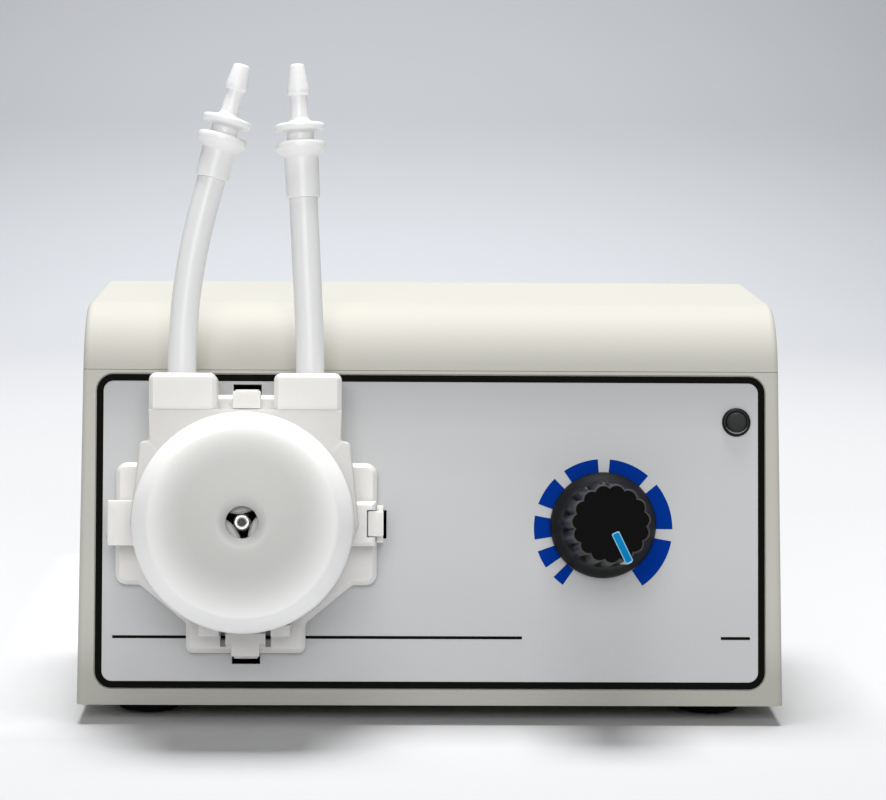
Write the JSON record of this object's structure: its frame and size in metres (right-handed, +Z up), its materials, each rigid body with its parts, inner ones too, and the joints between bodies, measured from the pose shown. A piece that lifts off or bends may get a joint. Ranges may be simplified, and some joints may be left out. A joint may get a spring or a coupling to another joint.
{
  "type": "peristaltic dosing pump",
  "caption": "Small desktop peristaltic dosing pump: leaning front panel, snap-in roller head with tube tails and barbed hose connectors, speed knob and power light.",
  "frame": {"origin": "the middle of the four feet on the surface that the pump stands on", "axes": "+X to the right seen from the front, +Y from the front panel to the back, +Z up"},
  "size_m": [0.1, 0.0781, 0.0931],
  "materials": {
    "case_plastic": "fine matt moulded",
    "label_film": "satin printed film",
    "foot_rubber": "matt",
    "screw_steel": "plain",
    "head_plastic": "satin moulded",
    "cover_plastic": "satin moulded",
    "tube_silicone": "translucent",
    "connector_plastic": "translucent",
    "roller_plastic": "satin",
    "carrier_plastic": "satin",
    "shaft_steel": "ground",
    "motor_steel": "zinc plated",
    "motor_black": "moulded",
    "bush_bronze": "sintered",
    "magnet_ferrite": "matt",
    "copper": "enamelled wire",
    "plated_brass": "tinned",
    "knob_black": "satin moulded",
    "pointer_blue": "painted",
    "pot_case": "plated",
    "light_black": "gloss",
    "light_lens": "smoked",
    "board_green": "solder mask",
    "part_black": "moulded",
    "block_green": "moulded"
  },
  "bodies": {
    "housing": {"base_shell": "case_plastic", "top_cover": "case_plastic", "cover_screws": "screw_steel", "foot_front_left": "foot_rubber", "foot_front_right": "foot_rubber", "foot_rear_left": "foot_rubber", "foot_rear_right": "foot_rubber", "front_label": "label_film", "mount_plate": "head_plastic", "motor_screws": "screw_steel", "pump_housing": "head_plastic", "pump_cover": "cover_plastic", "pump_tube": "tube_silicone", "inlet_connector": "connector_plastic", "outlet_connector": "connector_plastic", "motor_can": "motor_steel", "motor_end_cap": "motor_black", "motor_front_bush": "bush_bronze", "motor_rear_bush": "bush_bronze", "motor_magnets": "magnet_ferrite", "motor_terminals": "plated_brass", "pot_body": "pot_case", "pot_bush": "plated_brass", "pot_washer": "pot_case", "pot_nut": "plated_brass", "power_light_bezel": "light_black", "power_light_lens": "light_lens", "control_board": "board_green", "board_screws": "screw_steel", "board_capacitor": "part_black", "board_transistor": "part_black", "board_terminals": "block_green", "board_chip": "part_black", "dc_jack": "light_black", "dc_jack_nut": "plated_brass"},
    "rotor": {"motor_shaft": "shaft_steel", "armature_core": "motor_steel", "armature_windings": "copper", "commutator": "copper"},
    "carrier": {"carrier_rear_plate": "carrier_plastic", "carrier_front_plate": "carrier_plastic", "roller_pins": "shaft_steel"},
    "roller_a": {"roller_1": "roller_plastic"},
    "roller_b": {"roller_2": "roller_plastic"},
    "roller_c": {"roller_3": "roller_plastic"},
    "knob": {"speed_knob": "knob_black", "knob_pointer": "pointer_blue", "pot_shaft": "plated_brass"}
  },
  "joints": [
    {"name": "motor_spin", "type": "hinge", "parent": "housing", "child": "rotor", "pos_m": [-0.0261, -0.02489, 0.02807], "axis": [0, -0.987, 0.1607], "continuous": true},
    {"name": "carrier_spin", "type": "hinge", "parent": "housing", "child": "carrier", "pos_m": [-0.0261, -0.03574, 0.02984], "axis": [0, -0.987, 0.1607], "continuous": true},
    {"name": "roller_a_spin", "type": "hinge", "parent": "carrier", "child": "roller_a", "pos_m": [-0.02673, -0.03492, 0.03488], "axis": [0, -0.987, 0.1607], "continuous": true},
    {"name": "roller_b_spin", "type": "hinge", "parent": "carrier", "child": "roller_b", "pos_m": [-0.03021, -0.03624, 0.02678], "axis": [0, -0.987, 0.1607], "continuous": true},
    {"name": "roller_c_spin", "type": "hinge", "parent": "carrier", "child": "roller_c", "pos_m": [-0.02136, -0.03607, 0.02785], "axis": [0, -0.987, 0.1607], "continuous": true},
    {"name": "speed_turn", "type": "hinge", "parent": "housing", "child": "knob", "pos_m": [0.02435, -0.02489, 0.02807], "axis": [0, -0.987, 0.1607], "range_deg": [0, 300]}
  ],
  "couplings": [
    {"joint": "carrier_spin", "follows": "motor_spin", "ratio": 0.1122},
    {"joint": "roller_a_spin", "follows": "motor_spin", "ratio": -0.25848},
    {"joint": "roller_b_spin", "follows": "motor_spin", "ratio": -0.25848},
    {"joint": "roller_c_spin", "follows": "motor_spin", "ratio": -0.25848}
  ]
}
